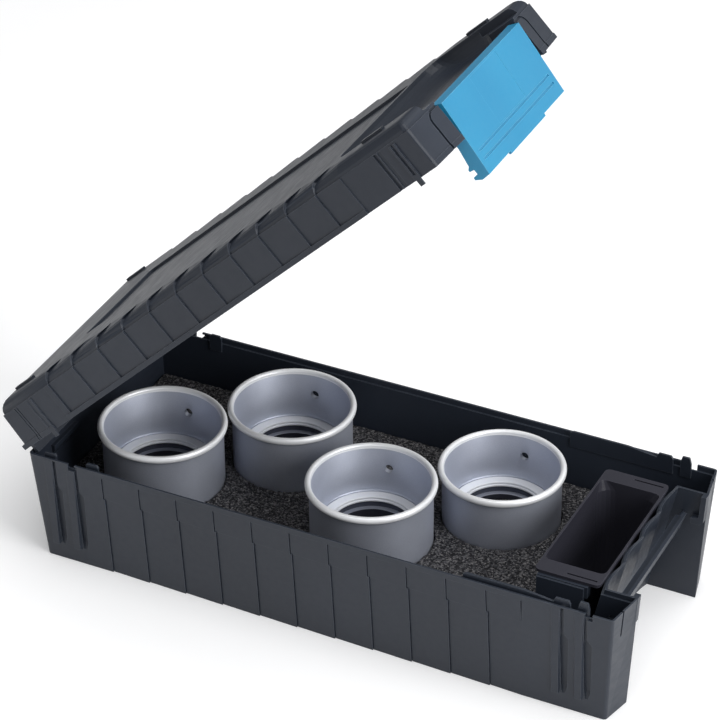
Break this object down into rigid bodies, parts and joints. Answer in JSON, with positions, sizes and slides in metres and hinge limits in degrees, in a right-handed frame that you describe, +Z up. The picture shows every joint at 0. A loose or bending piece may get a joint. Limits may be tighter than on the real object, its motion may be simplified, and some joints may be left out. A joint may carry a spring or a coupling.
{
  "type": "drive punch kit",
  "caption": "Hinged moulded case with a snap latch and finger recess, holding cup-shaped ring punches in a foam bed beside a lift-out parts tray.",
  "frame": {"origin": "centre of the base's underside, on the surface that the case stands on", "axes": "+Z up, +X from the hinge end to the latch end, +Y towards the back side"},
  "size_m": [0.4059, 0.164, 0.3688],
  "materials": {
    "case_plastic": "satin moulded polypropylene, charcoal",
    "foam": "open-cell foam, black with grey flecks",
    "tray_plastic": "smooth satin moulded plastic, near black",
    "latch_plastic": "satin moulded plastic, bright blue",
    "punch_aluminium": "bead-blasted and anodised, silver grey",
    "turned_ring": "bright turned",
    "pin_steel": "drawn wire"
  },
  "bodies": {
    "case": {"base_shell": "case_plastic", "catch_bar": "case_plastic", "foam_base": "foam", "foam_insert": "foam", "accessory_tray": "tray_plastic", "punch_front_left": "punch_aluminium", "punch_back_left": "punch_aluminium", "punch_front_right": "punch_aluminium", "punch_back_right": "punch_aluminium", "hub_ring_front_left": "turned_ring", "hub_ring_back_left": "turned_ring", "hub_ring_front_right": "turned_ring", "hub_ring_back_right": "turned_ring", "hinge_pin_front": "pin_steel", "hinge_pin_back": "pin_steel"},
    "lid": {"lid_shell": "case_plastic", "lid_foam_pad": "foam", "latch_pin_front": "pin_steel", "latch_pin_back": "pin_steel"},
    "latch": {"latch": "latch_plastic"}
  },
  "joints": [
    {"name": "lid_hinge", "type": "hinge", "parent": "case", "child": "lid", "pos_m": [-0.19394, 0, 0.07608], "axis": [0, -1, 0], "range_deg": [-44.3, 60]},
    {"name": "latch_hinge", "type": "hinge", "parent": "lid", "child": "latch", "pos_m": [0.0664, 0, 0.36132], "axis": [0, -1, 0], "range_deg": [-5, 80]}
  ]
}
